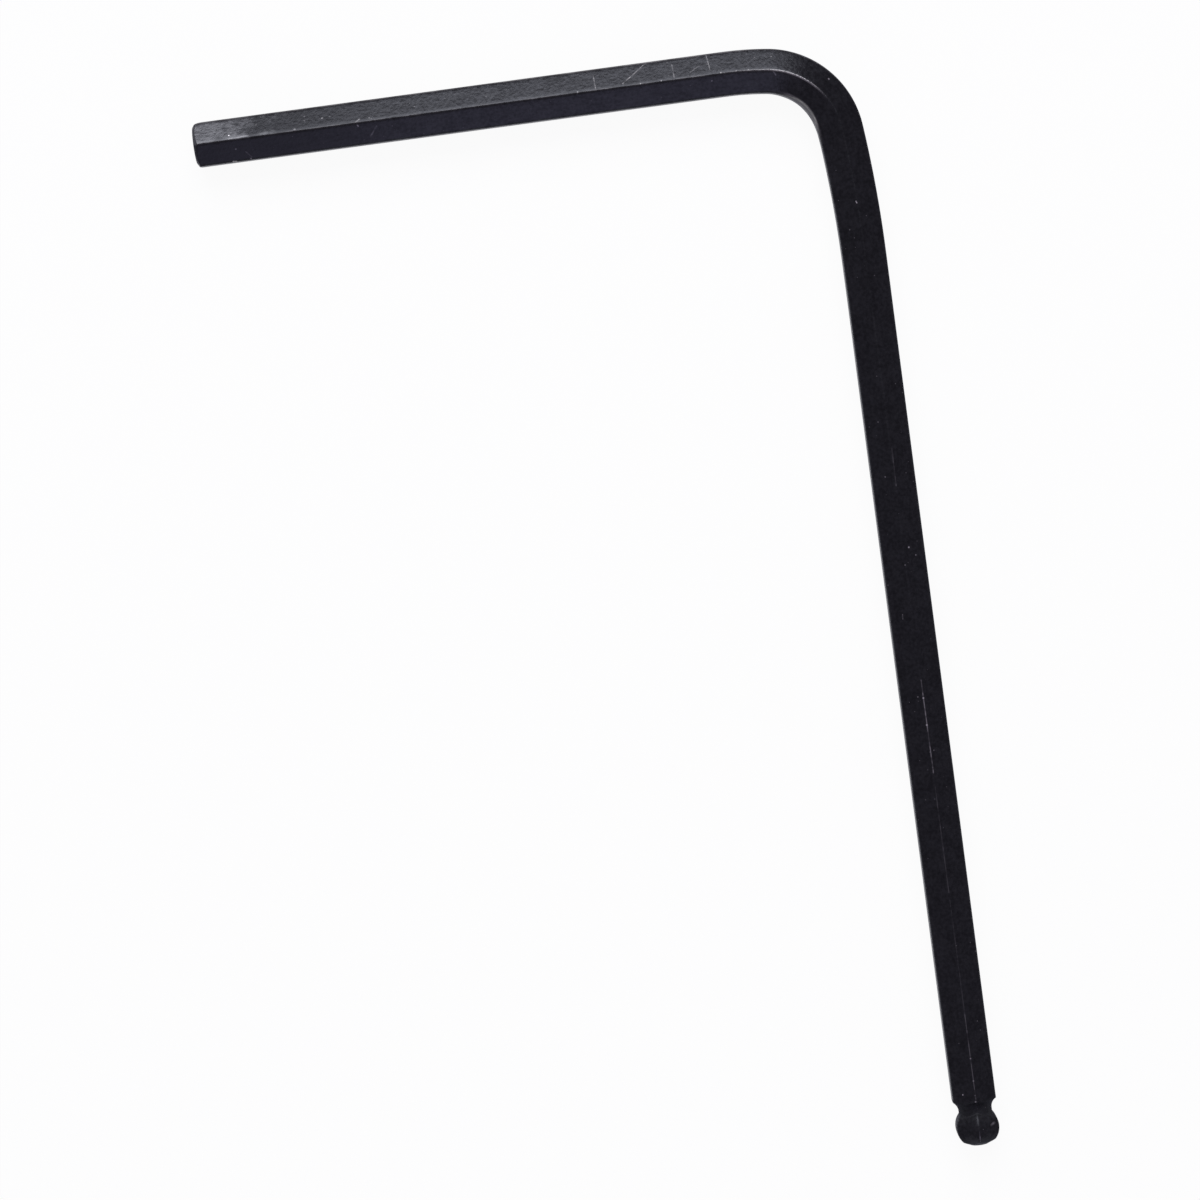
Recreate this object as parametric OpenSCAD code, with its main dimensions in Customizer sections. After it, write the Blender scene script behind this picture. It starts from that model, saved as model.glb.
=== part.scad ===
// Hex key with a ball end on its long arm, bent cold from one length of drawn hexagonal bar.
// It lies flat on two edges of the bar: the short arm runs to -X and the long arm to -Y.

/* [Bar] */
// Width across the flats
across_flats = 4; // [3:0.1:6]
// Width of the bar's blunted long edges
edge_w = 0.2; // [0.1:0.02:0.4]

/* [Arms] */
// Reach of the long arm, from the ball's tip to the outer side of the short arm
long_reach = 102.7; // [60:0.05:160]
// Reach of the short arm, from its end to the outer side of the long arm
short_reach = 61.2; // [30:0.1:100]

/* [Bend] */
// Radius of the bend, along the middle of the bar
bend_r = 6.95; // [5.5:0.05:12]
// Radius of the slack curve where the short arm runs into the bend
short_ease_r = 30; // [14:1:60]
// Angle that the slack curve on the short arm turns
short_ease_angle = 7.5; // [2:0.5:16]
// Radius of the slack curve where the long arm runs into the bend
long_ease_r = 110; // [40:1:160]
// Angle that the slack curve on the long arm turns
long_ease_angle = 6; // [2:0.5:10]
// How much bending draws off each flat, once in a slack curve and once more in the bend
thinning = 0.01; // [0.01:0.005:0.04]

/* [Plain end] */
// Length of the turned chamfer, measured on the bar's edges
end_chamfer = 0.35; // [0.2:0.05:0.6]
// Angle between the chamfer and the end face
end_chamfer_angle = 30; // [20:1:45]

/* [Ball end] */
// How much narrower than the bar the ball is, across its flats
ball_clearance = 0.06; // [0.02:0.01:0.2]
// Length that the flat tip takes off the ball
tip_cut = 0.28; // [0.2:0.01:0.45]
// Diameter of the flat tip
tip_face_d = 1.6; // [1:0.1:1.8]
// Angle between the tip's chamfer and its flat
tip_chamfer_angle = 24.5; // [15:0.5:40]
// Depth of the turned neck below the bar's flats
neck_depth = 0.455; // [0.3:0.005:0.6]
// Length of the neck that stays round, before the ball's flats start
neck_len = 0.36; // [0.2:0.02:0.8]
// Radius of the hollow shoulder between the bar and the neck
shoulder_r = 1; // [0.8:0.05:1.6]

/* [Hidden] */

// Steps in a full circle
$fn = 64;

half_flats = across_flats / 2;
// Distance from the middle of a bar to its blunted edges
function reach_of(flats) = norm([flats / 2, (flats / 2 - edge_w) / sqrt(3)]);
edge_reach = reach_of(across_flats);

// The key turns from heading 0, along the short arm, to heading -90, along the long arm
turn = 90;
short_mark = -short_ease_angle;
long_mark = long_ease_angle - turn;

// Room that a curve takes up along the short arm and along the long arm
function curve_run(r, from, to) = r * (sin(from) - sin(to));
function curve_drop(r, from, to) = r * (cos(from) - cos(to));
bend_run = curve_run(short_ease_r, 0, short_mark) + curve_run(bend_r, short_mark, long_mark)
    + curve_run(long_ease_r, long_mark, -turn);
bend_drop = curve_drop(short_ease_r, 0, short_mark) + curve_drop(bend_r, short_mark, long_mark)
    + curve_drop(long_ease_r, long_mark, -turn);
// How far the slack curves reach into what they join, short enough to stay in line with it
lap = sqrt(thinning * bend_r);

// Middle lines of the arms, with the outline of the whole key centred on the origin
arm_x = short_reach / 2 - half_flats;
arm_y = long_reach / 2 - half_flats;
plain_x = -short_reach / 2;
bend_start = [arm_x - bend_run, arm_y];
bend_end = [arm_x, arm_y - bend_drop];

// Centre of a curve that passes point p at a heading, and the point at another heading on it
function curve_centre(p, heading, r) = p + r * [sin(heading), -cos(heading)];
function curve_point(c, heading, r) = c + r * [-sin(heading), cos(heading)];
short_ease_c = curve_centre(bend_start, 0, short_ease_r);
bend_c = curve_centre(curve_point(short_ease_c, short_mark, short_ease_r), short_mark, bend_r);
long_ease_c = curve_centre(curve_point(bend_c, long_mark, bend_r), long_mark, long_ease_r);

// Ball end: the tip and the neck, measured from the middle of the ball
ball_r = half_flats - ball_clearance / 2;
tip_at = ball_r - tip_cut;
neck_r = half_flats - neck_depth;
neck_at = sqrt(pow(ball_r, 2) - pow(neck_r, 2)) + neck_len;
ball_y = tip_at - long_reach / 2;
neck_y = ball_y + neck_at;
// How far the shoulder's hollow dips into the neck, so that it runs out on the neck without a step
shoulder_dip = 0.02;

// Section of the bar: a hexagon with blunted corners, and two of its flats facing +X and -X
module bar_section(thinned = 0) {
    flats = across_flats - 2 * thinned;
    intersection() {
        rotate(30) circle(r = flats / sqrt(3), $fn = 6);
        circle(r = reach_of(flats));
    }
}

// Straight bar that leaves point p at a heading
module straight_bar(p, heading, length) {
    translate(p) rotate([90, 0, heading + 90]) linear_extrude(length) bar_section();
}

// Bar bent about centre c, from one heading round to another, with both its ends reaching on
module bent_bar(c, r, from, to, thinned, reach_on = 0) {
    extra = reach_on / r * 180 / PI;
    translate(c) rotate(to + 90 - extra)
        rotate_extrude(angle = from - to + 2 * extra) translate([r, 0]) bar_section(thinned);
}

// Short arm, chamfered round its plain end
module short_arm() {
    face_r = edge_reach - end_chamfer / tan(end_chamfer_angle);
    length = bend_start.x - plain_x;
    intersection() {
        straight_bar([plain_x, arm_y], 0, length);
        translate([plain_x, arm_y]) rotate([0, 90, 0]) rotate_extrude() polygon([
            [0, 0],
            [face_r, 0],
            [across_flats, (across_flats - face_r) * tan(end_chamfer_angle)],
            [across_flats, length + across_flats],
            [0, length + across_flats]
        ]);
    }
}

// Bend, with a slack curve on each side of it
module bend() {
    bent_bar(short_ease_c, short_ease_r, 0, short_mark, thinning, lap);
    bent_bar(bend_c, bend_r, short_mark, long_mark, 2 * thinning);
    bent_bar(long_ease_c, long_ease_r, long_mark, -turn, thinning, lap);
}

// Block that is rounded towards the tip on the pair of flats at angle a
module crowned_pair(a) {
    rotate(a) rotate([90, 0, 0]) linear_extrude(2 * across_flats, center = true) intersection() {
        circle(r = ball_r);
        translate([-ball_r, -neck_at]) square([2 * ball_r, neck_at + tip_at]);
    }
}

// Ball with six crowned flats and a chamfered tip, which points to +Z
module ball() {
    tip_r = tip_face_d / 2;
    intersection() {
        crowned_pair(0);
        crowned_pair(60);
        crowned_pair(120);
        rotate_extrude() polygon([
            [0, -across_flats],
            [across_flats, -across_flats],
            [across_flats, tip_at - (across_flats - tip_r) * tan(tip_chamfer_angle)],
            [tip_r, tip_at],
            [0, tip_at]
        ]);
    }
}

// Long arm: the bar down to its hollow shoulder, and the round neck that carries the ball
module long_arm() {
    difference() {
        straight_bar(bend_end, -turn, bend_end.y - neck_y);
        translate([arm_x, neck_y]) rotate([90, 0, 0])
            rotate_extrude() translate([neck_r - shoulder_dip + shoulder_r, 0]) circle(r = shoulder_r);
    }
    translate([arm_x, neck_y + shoulder_r]) rotate([90, 0, 0]) cylinder(r = neck_r, h = shoulder_r + neck_at);
    translate([arm_x, ball_y]) rotate([90, 0, 0]) ball();
}

// The whole key, of drawn steel with a black oxide skin
module hex_key() {
    color([0.13, 0.13, 0.15]) translate([0, 0, edge_reach]) {
        short_arm();
        bend();
        long_arm();
    }
}

hex_key();
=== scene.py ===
import bpy
import numpy as np
from mathutils import Matrix, Vector


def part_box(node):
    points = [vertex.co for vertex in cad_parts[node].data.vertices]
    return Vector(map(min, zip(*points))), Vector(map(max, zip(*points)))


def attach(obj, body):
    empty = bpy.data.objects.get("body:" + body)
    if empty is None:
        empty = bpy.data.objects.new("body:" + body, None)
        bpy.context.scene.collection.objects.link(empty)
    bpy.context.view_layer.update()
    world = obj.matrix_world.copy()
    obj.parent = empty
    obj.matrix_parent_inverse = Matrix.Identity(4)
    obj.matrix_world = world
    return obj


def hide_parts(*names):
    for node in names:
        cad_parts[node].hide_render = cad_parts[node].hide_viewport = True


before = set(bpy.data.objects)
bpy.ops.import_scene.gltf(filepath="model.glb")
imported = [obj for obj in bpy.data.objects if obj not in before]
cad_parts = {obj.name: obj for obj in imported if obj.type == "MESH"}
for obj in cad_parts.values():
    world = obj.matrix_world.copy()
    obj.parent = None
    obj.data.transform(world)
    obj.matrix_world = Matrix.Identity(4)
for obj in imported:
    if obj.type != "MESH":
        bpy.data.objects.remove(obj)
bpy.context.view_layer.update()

# Key: one length of drawn hexagonal bar of tool steel, cut off and chamfered by turning at the plain end,
# ground to a ball behind a turned neck at the other end, bent cold round a former and then blackened.
# It is one mesh of rings, carried along the middle line of the bar from the plain end to the tip.
MM = 0.001
half_flats = 2 * MM
edge_w = 0.2 * MM
edge_reach = np.hypot(half_flats, (half_flats - edge_w) / np.sqrt(3))
axis_z = edge_reach
low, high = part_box("hex_key")
plain_x, tip_y = low.x, low.y
arm_x, arm_y = high.x - half_flats, high.y - half_flats

# Slack curve, bend and slack curve: radius along the middle line, and the angle turned so far
curve_radii = np.array([30, 6.95, 110]) * MM
curve_marks = np.radians([0, 7.5, 84, 90])
curve_lengths = curve_radii * np.diff(curve_marks)
bend_run = (curve_radii * np.diff(np.sin(curve_marks))).sum()
bend_drop = -(curve_radii * np.diff(np.cos(curve_marks))).sum()
short_straight = arm_x - plain_x - bend_run
long_straight = arm_y - tip_y - bend_drop
stretch_marks = np.cumsum([0, short_straight, *curve_lengths, long_straight])
stretch_headings = -np.array([0, *curve_marks, np.pi / 2])
bend_from, bend_to, slack_to, tip_at = stretch_marks[2:]

# Plain end: a turned chamfer, and the outer corner rubbed round
plain_face_r = 1.647 * MM
plain_chamfer_angle = np.radians(30)
rubbed_corner_l = 1.0 * MM
rubbed_corner_depth = 0.36 * MM

# Ball end
neck_r = 1.545 * MM
neck_len = 0.36 * MM
shoulder_r = 1.0 * MM
ball_r = 1.97 * MM
ball_to_tip = 1.69 * MM
tip_face_r = 0.8 * MM
tip_chamfer_angle = np.radians(24.5)
ball_at = tip_at - ball_to_tip
neck_at = ball_at - np.sqrt(ball_r**2 - neck_r**2) - neck_len

# Inside of the bend: the flat swells and bulges, and the former has pressed a band on each side of it
swell = 0.09 * MM
bulge = 0.075 * MM
pressed_angles = np.radians([158, 202])
pressed_distance = 2.09 * MM
unpressed_distance = 2.45 * MM


def middle_line(s):
    """Heading and point at each distance s along the bar. The heading changes in step with the distance
    on each stretch, so the way from one s to the next is the chord of an arc."""
    heading = np.interp(s, stretch_marks, stretch_headings)
    turned = np.diff(heading)
    chord = np.diff(s) * np.sinc(turned / (2 * np.pi))
    towards = heading[:-1] + turned / 2
    steps = chord[:, None] * np.stack([np.cos(towards), np.sin(towards)], 1)
    return heading, np.array([plain_x, arm_y]) + np.concatenate([[[0, 0]], np.cumsum(steps, 0)])


def fade(value, start, end):
    """Goes from 0 at start to 1 at end, slowly at first and slowly at last: 3 t^2 - 2 t^3."""
    t = np.clip((value - start) / (end - start), 0, 1)
    return t * t * (3 - 2 * t)


def face_distances(s):
    """Distance of each long face from the axis. The six flats keep theirs as far as the neck and then
    follow a circle about the middle of the ball. The first is rubbed off in a quarter ellipse at the
    plain end, the fourth swells inside the bend, and the two pressed bands come in only there."""
    ball = np.sqrt(np.maximum(ball_r**2 - (s - ball_at) ** 2, 0))
    flats = np.tile(np.where(s < neck_at, half_flats, ball), (6, 1))
    to_go = np.clip(1 - s / rubbed_corner_l, 0, 1)
    flats[0] -= rubbed_corner_depth * (1 - np.sqrt(1 - to_go**2))
    flats[3] += swell * fade(s, bend_from, bend_from + 4 * MM) * fade(s, slack_to + 5 * MM, bend_to)
    bulged = bulge * fade(s, bend_from + 3 * MM, bend_from + 7 * MM)
    bulged *= fade(s, bend_to + 1.4 * MM, bend_to - 1.6 * MM)
    flats[3] += bulged
    pressed = fade(s, bend_from + 0.5 * MM, bend_from + 5 * MM)
    pressed *= fade(s, bend_to + 1 * MM, bend_to - 3 * MM)
    band = unpressed_distance + (pressed_distance - unpressed_distance) * pressed + bulged
    return np.vstack([flats, band, band])


def nearest_face(distances, face_angles, angles, sharpness):
    """Distance from the axis to the nearest of several faces, at each angle round it. A face is its
    distance over the cosine of the angle from its middle; the power mean rounds the edges between faces."""
    nearness = np.clip(np.cos(angles - face_angles[:, None]), 0, None)[:, None, :] / distances[:, :, None]
    return (nearness**sharpness).sum(0) ** (-1 / sharpness)


def turned_radius(s):
    """Radius of the turned forms: a chamfer cone at each end, and the hollow shoulder, a quarter circle."""
    plain = plain_face_r + s / np.tan(plain_chamfer_angle)
    tip = tip_face_r + (tip_at - s) / np.tan(tip_chamfer_angle)
    into_shoulder = np.where(s < neck_at, np.minimum(neck_at - s, shoulder_r), shoulder_r)
    shoulder = neck_r + shoulder_r - np.sqrt(shoulder_r**2 - into_shoulder**2)
    return np.minimum(np.minimum(plain, tip), shoulder)


# Sharpness of the edges: the bar's long edges are blunted as far as edge_reach, the turned ones less
long_edge_sharpness = np.log(2) / np.log(half_flats / np.cos(np.pi / 6) / edge_reach)
turned_edge_sharpness = 70
shoulder_sharpness = 26


def key_rings(s, turned_radii, angles):
    """Points of a ring at each distance s: as far from the middle line as the nearest long face or turned
    form, and on the ball at least as far as the neck. Angle 0 is outwards from the bend, and a quarter
    turn is up."""
    face_angles = np.append(np.radians(60 * np.arange(6)), pressed_angles)
    bar = nearest_face(face_distances(s), face_angles, angles, long_edge_sharpness)
    on_ball = ((s >= neck_at) & (s < ball_at))[:, None]
    bar = np.where(on_ball, np.maximum(bar, neck_r), bar)
    at_shoulder = (s > neck_at - 2 * shoulder_r) & (s < neck_at)
    power = -np.where(at_shoulder, shoulder_sharpness, turned_edge_sharpness)[:, None]
    radius = bar * (1 + (turned_radii[:, None] / bar) ** power) ** (1 / power)
    heading, middle = middle_line(s)
    outward = np.stack([-np.sin(heading), np.cos(heading)], 1)
    level = middle[:, None, :] + outward[:, None, :] * (radius * np.cos(angles))[:, :, None]
    return np.dstack([level, axis_z + radius * np.sin(angles)])


def spaced(start, stop, step):
    """Distances from start to just before stop, even and at most a step apart."""
    return np.linspace(start, stop, int(np.ceil((stop - start) / step)), endpoint=False)


# Rings lie close where the form changes fast, and points crowd towards the six edges. Each flat end face
# has rings at some shares of its radius.
steps_per_flat = 20
across_flat = np.sin(np.pi / 2 * np.linspace(-1, 1, steps_per_flat, endpoint=False))
flat_middles = np.radians(60 * np.arange(-1, 5))
angles = (flat_middles[:, None] + np.radians(30) * across_flat).ravel()
stations = np.concatenate([
    spaced(0, 0.4 * MM, 0.02 * MM),
    spaced(0.4 * MM, 1.2 * MM, 0.08 * MM),
    spaced(1.2 * MM, stretch_marks[1], 1 * MM),
    spaced(stretch_marks[1], bend_from, 0.3 * MM),
    spaced(bend_from, bend_to, 0.12 * MM),
    spaced(bend_to, slack_to, 0.3 * MM),
    spaced(slack_to, neck_at - 2 * shoulder_r, 1 * MM),
    spaced(neck_at - 2 * shoulder_r, neck_at - shoulder_r, 0.08 * MM),
    spaced(neck_at - shoulder_r, neck_at, 0.03 * MM),
    spaced(neck_at, tip_at - 0.5 * MM, 0.04 * MM),
    spaced(tip_at - 0.5 * MM, tip_at, 0.02 * MM),
    [tip_at],
])
cap_shares = np.array([0.35, 0.7, 0.93, 0.985])
s = np.concatenate([0 * cap_shares, stations, tip_at + 0 * cap_shares])
plain_cap_radii = cap_shares * plain_face_r
tip_cap_radii = cap_shares[::-1] * tip_face_r
turned_radii = np.concatenate([plain_cap_radii, turned_radius(stations), tip_cap_radii])
rings = key_rings(s, turned_radii, angles)
ring_count, ring_size = rings.shape[:2]
poles = np.array([[plain_x, arm_y, axis_z], [arm_x, tip_y, axis_z]])
points = np.concatenate([rings.reshape(-1, 3), poles])

row = np.arange(ring_count - 1)[:, None] * ring_size
column = np.arange(ring_size)
after = (column + 1) % ring_size
quads = np.stack([row + column, row + after, row + after + ring_size, row + column + ring_size], 2)
last_row = (ring_count - 1) * ring_size
plain_fan = np.stack([after, column, 0 * column + len(points) - 2], 1)
tip_fan = np.stack([last_row + column, last_row + after, 0 * column + len(points) - 1], 1)

key_mesh = bpy.data.meshes.new("hex_key_body")
faces = [*quads.reshape(-1, 4).tolist(), *plain_fan.tolist(), *tip_fan.tolist()]
key_mesh.from_pydata(points.tolist(), [], faces)
key_mesh.shade_smooth()
key = bpy.data.objects.new("hex_key_body", key_mesh)
bpy.context.scene.collection.objects.link(key)
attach(key, "root")
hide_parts("hex_key")

# The wrap map gives a place on the skin in millimetres: the distance along the bar, and the distance
# round its flats from the lowest edge, by the upper edge in the middle, to the lowest edge again
flat_w = 2 * half_flats * np.tan(np.pi / 6)
turn = np.arange(ring_size + 1) // steps_per_flat
beside_middle = np.append(angles, angles[0] + 2 * np.pi) - np.radians(60 * (turn - 1))
round_bar = (turn + 0.5) * flat_w + half_flats * np.tan(beside_middle)
wrap = np.dstack(np.meshgrid(s, round_bar, indexing="ij")) / MM
quad_wrap = np.stack([wrap[:-1, :-1], wrap[:-1, 1:], wrap[1:, 1:], wrap[1:, :-1]], 2)
plain_wrap = np.stack([wrap[0, 1:], wrap[0, :-1], (wrap[0, 1:] + wrap[0, :-1]) / 2], 1)
tip_wrap = np.stack([wrap[-1, :-1], wrap[-1, 1:], (wrap[-1, 1:] + wrap[-1, :-1]) / 2], 1)
wrap_map = key_mesh.uv_layers.new(name="wrap")
corner_wraps = np.concatenate([part.reshape(-1, 2) for part in (quad_wrap, plain_wrap, tip_wrap)])
wrap_map.data.foreach_set("uv", corner_wraps.astype(np.float32).ravel())

# Skin of the key: black oxide from a hot salt bath, thin enough to show the drawn grain of the steel,
# scuffed grey at the plain end, and rubbed through to the steel on edges, in scratches and in dots.
# The upper edge also carries a painted highlight in bright steel, one smooth line as far as into the bend.
skin = bpy.data.materials.new("black_oxide_steel")
skin.use_nodes = True
key_mesh.materials.append(skin)
outer_edge, upper_edge, inner_edge = np.array([2, 3, 4]) * flat_w / MM


def add(kind, inputs=(), tree=skin.node_tree, **settings):
    """Adds a node to a material. Settings are its own properties; inputs pairs a socket with a value or
    with another node's output. Returns the node's first output."""
    made = tree.nodes.new("ShaderNode" + kind)
    for name, value in settings.items():
        setattr(made, name, value)
    for socket, value in inputs:
        if isinstance(value, bpy.types.NodeSocket):
            tree.links.new(value, made.inputs[socket])
        else:
            made.inputs[socket].default_value = value
    return made.outputs[0]


def math(operation, *values):
    """Sum, product or other step over two or more values or outputs, taken from left to right."""
    result = values[0]
    for value in values[1:]:
        result = add("Math", [(0, result), (1, value)], operation=operation)
    return result


def off(place, middle):
    """How far a place is from the middle one, to either side."""
    return add("Math", [(0, math("SUBTRACT", place, middle))], operation="ABSOLUTE")


def ramp(value, start, end, low=0.0, high=1.0):
    """Goes smoothly from low to high while the value goes from start to end."""
    limits = [("Value", value), ("From Min", start), ("From Max", end), ("To Min", low), ("To Max", high)]
    return add("MapRange", limits, interpolation_type="SMOOTHSTEP")


def blotches(place, size, detail, scale=(1, 1, 1)):
    """Cloudy pattern, from 0 to 1, whose blotches are about as wide as the size in the place's own unit."""
    stretched = add("Mapping", [("Vector", place), ("Scale", scale)])
    return add("TexNoise", [("Vector", stretched), ("Scale", 0.5 / size), ("Detail", detail)])


def blend(share, first, second):
    """Colour between the first and the second, nearer to the second the larger the share."""
    return add("MixRGB", [("Fac", share), ("Color1", first), ("Color2", second)])


def vector_step(operation, a, b):
    """One step on two vectors that gives a number, such as their distance."""
    return add("VectorMath", [(0, a), (1, b)], operation=operation).node.outputs["Value"]


def mark(from_u, from_v, to_u, to_v, width, strength):
    """Mark between two places on the skin, or a dot where they are the same. Its sides are soft. How far
    the skin is from the mark is its distance from the nearest point on the way."""
    way = Vector((to_u - from_u, to_v - from_v, 0))
    start = (from_u, from_v, 0)
    if way.length:
        past = add("VectorMath", [(0, on_skin), (1, start)], operation="SUBTRACT")
        share = add("Clamp", [("Value", vector_step("DOT_PRODUCT", past, way / way.length_squared))])
        nearest = add("VectorMath", [(0, way), ("Scale", share)], operation="SCALE")
        away = vector_step("DISTANCE", past, nearest)
    else:
        away = vector_step("DISTANCE", on_skin, start)
    return ramp(away, 0.75 * width, 0.15 * width, 0, strength)


# Places on the key, and how far each is into the bend and past the start of the shoulder
on_skin = add("UVMap", uv_map="wrap")
on_key = add("TexCoord").node.outputs["Object"]
split = add("SeparateXYZ", [(0, on_skin)]).node
along_key, round_key = split.outputs[0], split.outputs[1]
into_bend = math("SUBTRACT", along_key, bend_from / MM)
past_shoulder = math("SUBTRACT", along_key, (neck_at - shoulder_r) / MM)

# Grain, clouds and drawing lines of the oxide
grain = blotches(on_key, 0.15 * MM, 2)
mottle = blotches(on_key, 0.7 * MM, 4)
drawn_lines = blotches(on_skin, 0.12, 3, (0.05, 1, 1))
tone_parts = [math("MULTIPLY", *part) for part in ((mottle, 0.35), (drawn_lines, 0.1), (grain, 0.55))]
tone = math("ADD", *tone_parts)

# Rubbed to bright steel: the upper edge of the short arm in patches, its outer edge in patches, and the
# bands that the former pressed. The smooth line on the upper edge as far as into the bend is a painted
# highlight.
patchy = ramp(blotches(on_skin, 0.35, 4, (0.4, 1, 1)), 0.38, 0.66)
upper_wear_and_highlight = math("MULTIPLY", patchy, ramp(into_bend, -14.6, 1.4, 0.045, 0.07))
# Painted highlight: one smooth bright line on the upper edge, strongest in the bend, over the worn patches
upper_wear_and_highlight = math("ADD", upper_wear_and_highlight, ramp(into_bend, -4.6, 4.4, 0.01, 0.32))
upper_wear_and_highlight = math("MULTIPLY", upper_wear_and_highlight, ramp(off(round_key, upper_edge), 0.15, 0.04))
outer_rubbed = math("ADD", math("MULTIPLY", patchy, 0.14), 0.1)
outer_rubbed = math("MULTIPLY", outer_rubbed, ramp(off(round_key, outer_edge), 0.22, 0.05))
outer_rubbed = math("MULTIPLY", outer_rubbed, ramp(into_bend, -27.6, -10.6, 1, 1.5))
outer_rubbed = math("MULTIPLY", outer_rubbed, ramp(into_bend, -3.6, 2.4, 1, 0.4))
edge_wear_and_highlight = math("MULTIPLY", math("MAXIMUM", upper_wear_and_highlight, outer_rubbed), ramp(into_bend, 6.4, 3.4))
off_band = math("ADD", off(round_key, inner_edge + 0.31), ramp(into_bend, 4.9, 8.4, 0, 0.22))
pressed_ends = math("MULTIPLY", ramp(into_bend, 0.9, 4.4), ramp(into_bend, 10.4, 7.4))
pressed_band = math("ADD", math("MULTIPLY", patchy, 0.2), 0.14)
pressed_band = math("MULTIPLY", pressed_band, ramp(off_band, 0.75, 0.5), pressed_ends)

# Specks: a dot in about one patch of skin in three, each of another size
patch = add("TexVoronoi", [("Vector", on_skin), ("Scale", 1.1)], voronoi_dimensions="2D").node
patch_draw = add("SeparateXYZ", [(0, patch.outputs["Color"])])
speck_r = add("MapRange", [("Value", patch_draw), ("From Min", 0.65), ("To Min", -0.06), ("To Max", 0.05)])
off_speck = math("SUBTRACT", patch.outputs["Distance"], speck_r)
specks = ramp(off_speck, 0.03, -0.03, 0, ramp(into_bend, -0.6, 13.4, 0.08, 0.28))

# Scratches and streaks: from and to as millimetres along the bar and round it, width and strength
scratches = [
    # plain end
    (3.0, 6.82, 5.1, 6.74, 0.1, 0.07),
    (3.4, 9.2, 3.6, 9.24, 0.2, 0.7),
    (4.65, 8.35, 5.1, 8.95, 0.12, 0.05),
    # short arm
    (14.75, 7.0, 15.3, 6.6, 0.14, 0.25),
    (14.95, 6.85, 15.1, 7.3, 0.13, 0.18),
    (16.1, 8.45, 16.75, 7.55, 0.14, 0.07),
    (36.85, 5.3, 36.9, 6.7, 0.09, 0.09),
    (39.4, 6.6, 40.6, 5.65, 0.09, 0.14),
    (40.6, 5.65, 41.55, 4.85, 0.09, 0.12),
    (41.55, 4.85, 42.3, 4.7, 0.09, 0.09),
    (44.05, 5.3, 44.1, 6.65, 0.09, 0.09),
    (45.6, 6.35, 46.4, 5.85, 0.09, 0.06),
    (46.4, 5.85, 47.2, 5.7, 0.09, 0.06),
    (47.25, 4.75, 47.4, 6.4, 0.1, 0.13),
    # bend
    (53.1, 7.05, 53.4, 7.4, 0.12, 0.16),
    (68.55, 7.05, 68.7, 7.0, 0.12, 0.7),
    # long arm
    (91.25, 6.8, 94.65, 6.85, 0.12, 0.12),
    (106.45, 7.9, 106.85, 7.95, 0.1, 0.35),
    (112.6, 6.9, 121.2, 6.86, 0.11, 0.32),
    (122.5, 6.88, 132.3, 6.88, 0.1, 0.08),
    (133.0, 6.88, 143.5, 6.88, 0.1, 0.05),
    (143.5, 6.88, 151.6, 6.88, 0.1, 0.14),
    # ball
    (154.3, 5.5, 154.15, 5.1, 0.2, 0.3),
    (154.7, 6.93, 155.65, 6.93, 0.12, 0.2),
]

# Dots: millimetres along the bar and round it, width and strength
dots = [
    # plain end
    (3.35, 6.45, 0.12, 0.7),
    (3.8, 7.95, 0.14, 0.16),
    (5.0, 9.1, 0.13, 0.3),
    (5.9, 5.7, 0.13, 0.08),
    (9.35, 6.75, 0.2, 0.1),
    (10.3, 5.95, 0.13, 0.1),
    (10.35, 5.5, 0.13, 0.08),
    (11.95, 5.95, 0.16, 0.18),
    (12.65, 5.9, 0.12, 0.06),
    # short arm
    (15.4, 4.75, 0.2, 0.1),
    (16.2, 6.6, 0.14, 0.1),
    (20.4, 6.05, 0.13, 0.06),
    (23.25, 5.6, 0.13, 0.06),
    (26.95, 6.0, 0.13, 0.06),
    (28.85, 5.55, 0.13, 0.06),
    (35.25, 6.85, 0.14, 0.16),
    (41.0, 6.85, 0.14, 0.16),
    (42.9, 6.85, 0.14, 0.16),
    (47.45, 7.55, 0.14, 0.16),
    (48.35, 6.85, 0.16, 0.16),
    (49.75, 6.85, 0.14, 0.16),
    (50.85, 6.85, 0.14, 0.16),
    # bend
    (51.45, 5.55, 0.14, 0.1),
    (52.9, 5.45, 0.14, 0.12),
    (57.7, 5.35, 0.14, 0.8),
    (71.0, 8.15, 0.12, 0.3),
    # long arm
    (88.7, 7.85, 0.13, 0.3),
    (93.75, 7.85, 0.13, 0.4),
    (100.4, 6.35, 0.16, 0.9),
    (101.2, 5.7, 0.13, 0.5),
    (101.95, 7.0, 0.13, 0.35),
    (114.1, 7.45, 0.13, 0.4),
    (114.25, 6.9, 0.18, 0.9),
    (116.75, 6.9, 0.18, 0.9),
    (119.15, 6.5, 0.13, 0.3),
    (119.25, 6.9, 0.14, 0.4),
    (147.8, 6.88, 0.15, 0.5),
    (149.9, 6.88, 0.15, 0.5),
    (151.15, 8.15, 0.13, 0.9),
    (151.25, 6.9, 0.12, 0.25),
    (151.85, 6.93, 0.18, 0.3),
]
uneven = ramp(blotches(on_skin, 0.3, 2), 0.36, 0.62, 0.25, 1.3)
scratched = math("MULTIPLY", math("MAXIMUM", *[mark(*sizes) for sizes in scratches]), uneven)
dotted = [mark(u, v, u, v, width, strength) for u, v, width, strength in dots]
# Worn steel of all the marks, together with the painted highlight on the upper edge in the bend
wear_and_highlight = math("MAXIMUM", scratched, *dotted, edge_wear_and_highlight, pressed_band, specks)

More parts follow.
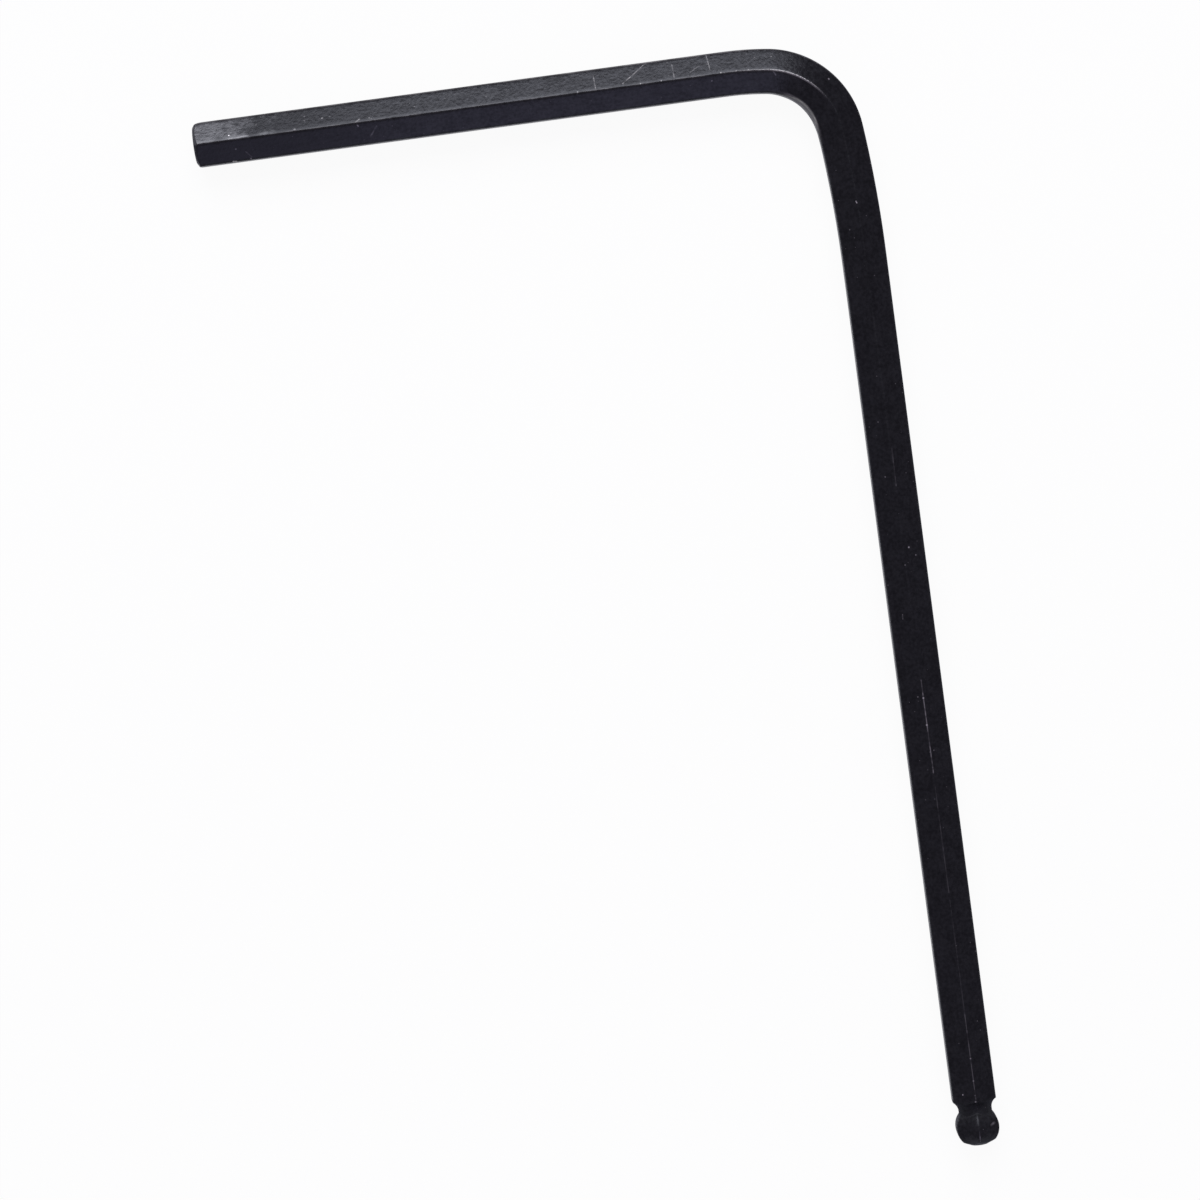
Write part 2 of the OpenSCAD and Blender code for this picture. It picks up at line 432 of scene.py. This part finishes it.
# Scuffed grey: clouds on the upper outer face beside the plain end
cloudy = math("ADD", math("MULTIPLY", mottle, 1.35), math("MULTIPLY", grain, 0.25))
scuffed = ramp(math("SUBTRACT", cloudy, math("MULTIPLY", along_key, 0.07)), 0.3, 0.75)
below_upper = ramp(round_key, upper_edge + 0.17, upper_edge - 0.23)
above_outer = ramp(round_key, outer_edge - 0.42, outer_edge + 0.08)
scuffed = math("MULTIPLY", scuffed, below_upper, above_outer)

# Ball end: turning and grinding left the steel rougher than the drawn flats, most of all in the shoulder
shoulder_rough = ramp(past_shoulder, -0.3, 0.1, 0, 0.3)
turned_rough = math("MULTIPLY", shoulder_rough, ramp(past_shoulder, 1.1, 1.5, 1, 0.4))

# Steel under a black skin: the metal's own colour is dark, and little brighter at a slant. The colour is
# darker towards the plain end
dark_oxide, light_oxide = (0.0205, 0.021, 0.0235, 1), (0.038, 0.039, 0.0435, 1)
scuffed_grey = (0.07, 0.071, 0.077, 1)
# Bright steel: the colour of worn spots, and of the painted highlight on the upper edge in the bend
steel_and_highlight = (0.62, 0.6, 0.62, 1)
shader = skin.node_tree.nodes["Principled BSDF"]
skin_links = skin.node_tree.links
lightness = math("MULTIPLY", ramp(tone, 0.3, 0.7), ramp(along_key, 8, 22, 0.4, 1))
color = blend(lightness, dark_oxide, light_oxide)
color = blend(wear_and_highlight, blend(scuffed, color, scuffed_grey), steel_and_highlight)
skin_links.new(color, shader.inputs["Base Color"])
roughness = math("ADD", ramp(tone, 0.3, 0.7, 0.27, 0.33), turned_rough)
skin_links.new(roughness, shader.inputs["Roughness"])
grain_depth = 0.036 * MM
relief = add("Bump", [("Height", tone), ("Distance", grain_depth)])
skin_links.new(relief, shader.inputs["Normal"])
shader.inputs["Metallic"].default_value = 1
shader.inputs["Specular Tint"].default_value = (0.5, 0.5, 0.54, 1)

# Floor: a sheet of white card, which keeps a faint shadow of the key. The camera and the key's gloss
# see it nearly white, and its own matt colour takes the shadow.
card_grey = (0.9, 0.9, 0.9, 1)
card_whiteness = 0.94
floor_half = 3
floor_mesh = bpy.data.meshes.new("floor")
floor_corners = [(x * floor_half, y * floor_half, 0) for x, y in ((-1, -1), (1, -1), (1, 1), (-1, 1))]
floor_mesh.from_pydata(floor_corners, [], [(0, 1, 2, 3)])
floor = bpy.data.objects.new("floor", floor_mesh)
bpy.context.scene.collection.objects.link(floor)
card = bpy.data.materials.new("white_card")
card.use_nodes = True
floor_mesh.materials.append(card)
card_tree = card.node_tree
card_tree.nodes.remove(card_tree.nodes["Principled BSDF"])
matt = add("BsdfDiffuse", [("Color", card_grey)], card_tree)
white = add("Emission", tree=card_tree)
rays = add("LightPath", tree=card_tree).node.outputs
seen = rays["Is Camera Ray"]
for kind in ("Is Glossy Ray", "Is Transmission Ray"):
    seen = add("Math", [(0, seen), (1, rays[kind])], card_tree, operation="MAXIMUM")
white_share = add("Math", [(0, seen), (1, card_whiteness)], card_tree, operation="MULTIPLY")
shown = add("MixShader", [(0, white_share), (1, matt), (2, white)], card_tree)
card_tree.links.new(shown, card_tree.nodes["Material Output"].inputs["Surface"])

# Light: a broad soft lamp beyond the short arm, a weak bluish one beyond the ball, and a dim room.
# Together they light the key at a plain level.


def soft_lamp(name, azimuth, elevation, distance, size, radiance, color):
    """Square lamp aimed at the middle of the key. Azimuth 0 is towards +Y and 90 towards +X. Its power is
    its radiance times pi times its area."""
    lamp = bpy.data.lights.new(name, "AREA")
    lamp.size = size
    lamp.energy = radiance * np.pi * size**2
    lamp.color = color
    a, e = np.radians([azimuth, elevation])
    away = Vector((np.sin(a) * np.cos(e), np.cos(a) * np.cos(e), np.sin(e)))
    stand = bpy.data.objects.new(name, lamp)
    stand.location = away * distance
    stand.rotation_euler = away.to_track_quat("Z", "Y").to_euler()
    bpy.context.scene.collection.objects.link(stand)


lamp_distance = 0.8
soft_lamp("far_lamp", 0, 45, lamp_distance, size=0.58, radiance=4.5, color=(0.97, 0.98, 1))
soft_lamp("near_lamp", 180, 30, lamp_distance, size=0.4, radiance=0.82, color=(0.72, 0.7, 1))
room = bpy.data.worlds.new("room")
room.use_nodes = True
room.node_tree.nodes["Background"].inputs["Color"].default_value = (0.37, 0.34, 0.41, 1)
bpy.context.scene.world = room
bpy.context.scene.view_settings.view_transform = "Standard"

# Camera: it looks down on the key, a little from the side of the ball. Places in the picture are in
# pixels of a frame 1200 wide, and the scale holds at the middle of the bar where the two arms would meet.
frame_px = 1200
corner_px = (838.3, 59.0)
px_per_mm = 10.973
camera_distance = 394 * MM
tilt_x, tilt_y, turn_z = np.radians([3.51, -0.44, 7.67])


def turning(angle, axis):
    """Turn by an angle about an axis, as a 3 x 3 array."""
    return np.array(Matrix.Rotation(angle, 3, axis))


view_axes = turning(turn_z, "Z") @ turning(tilt_x, "X") @ turning(tilt_y, "Y")
corner_seen = np.array([corner_px[0] - frame_px / 2, frame_px / 2 - corner_px[1], 0]) / px_per_mm * MM
from_corner = view_axes.T @ (np.array([0, 0, camera_distance]) - corner_seen)
lens = bpy.data.cameras.new("camera")
lens.lens = px_per_mm / MM * camera_distance / frame_px * lens.sensor_width
camera = bpy.data.objects.new("camera", lens)
stand_at = Vector(np.array([arm_x, arm_y, axis_z]) + from_corner)
camera.matrix_world = Matrix.Translation(stand_at) @ Matrix(view_axes.T.tolist()).to_4x4()
bpy.context.scene.collection.objects.link(camera)
bpy.context.scene.camera = camera
